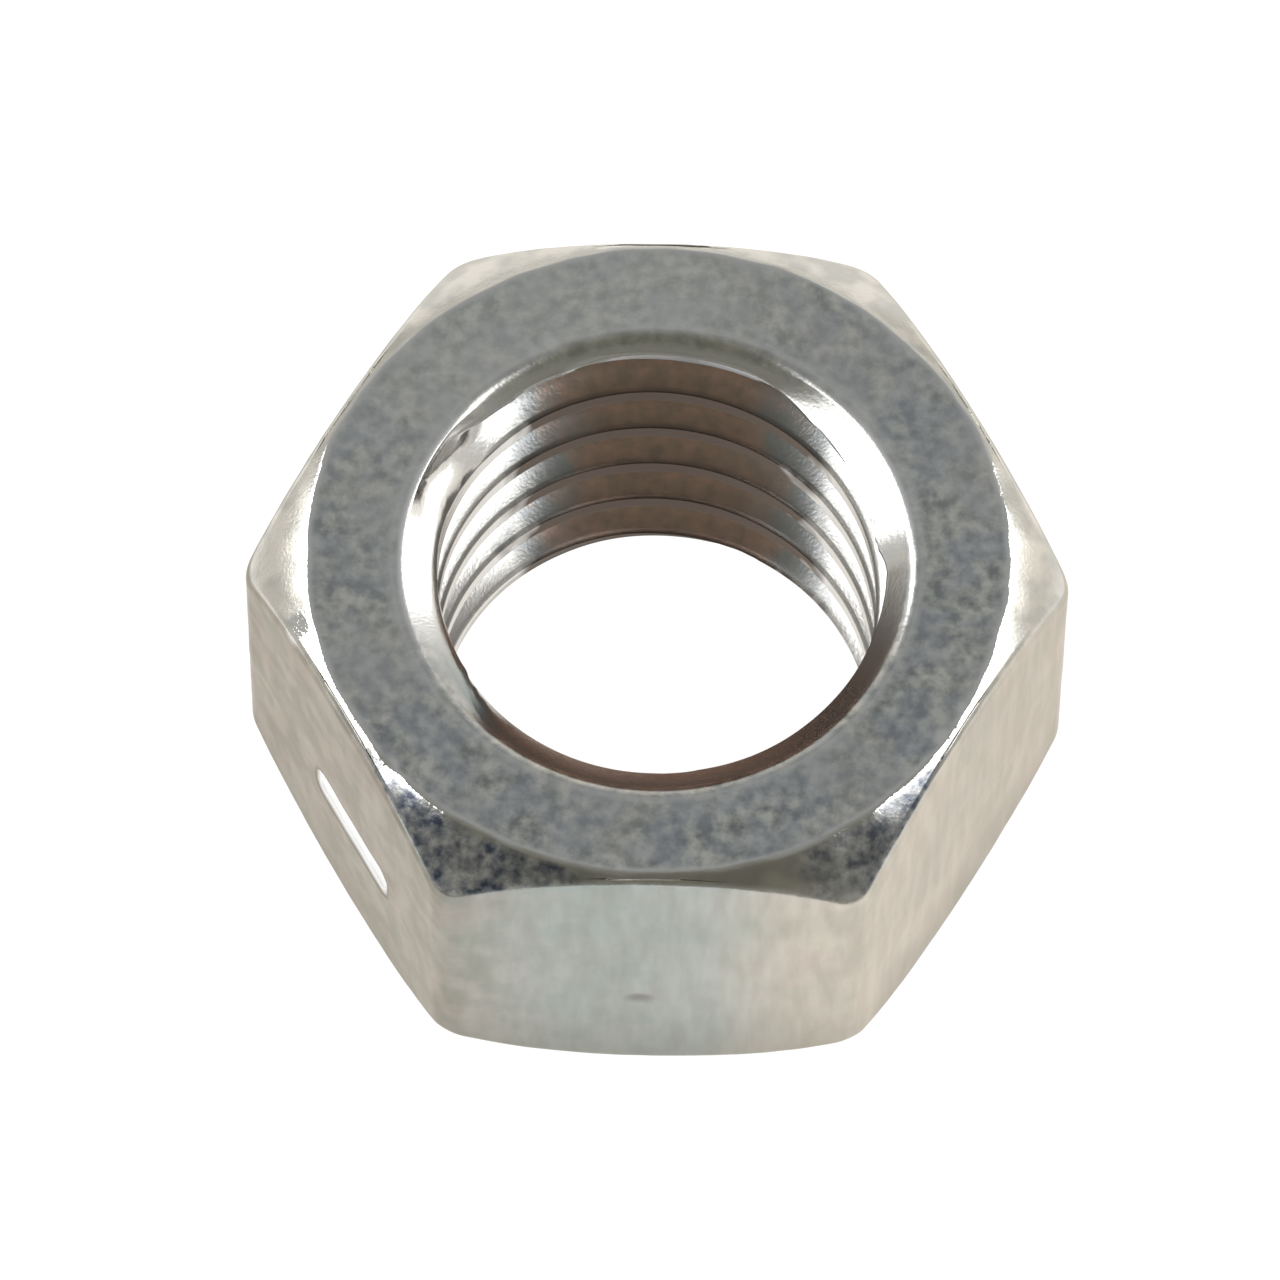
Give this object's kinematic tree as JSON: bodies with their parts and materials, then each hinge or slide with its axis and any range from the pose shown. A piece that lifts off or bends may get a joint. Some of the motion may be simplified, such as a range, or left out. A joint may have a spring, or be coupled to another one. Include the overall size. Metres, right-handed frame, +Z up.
{
  "type": "hex nut",
  "caption": "Zinc-plated steel hex nut, M10 coarse right-hand thread, small series, crowned on both ends.",
  "frame": {"origin": "centre of the lower bearing face, on the thread axis", "axes": "+Z up the thread axis, +X through a corner, +Y through the middle of a flat"},
  "size_m": [0.016, 0.014, 0.008],
  "materials": {
    "zinc_plated_steel": "clear bright zinc plate, finely mottled and satin, rubbed brighter on the edges"
  },
  "bodies": {
    "root": {"hex_nut": "zinc_plated_steel"}
  },
  "joints": []
}
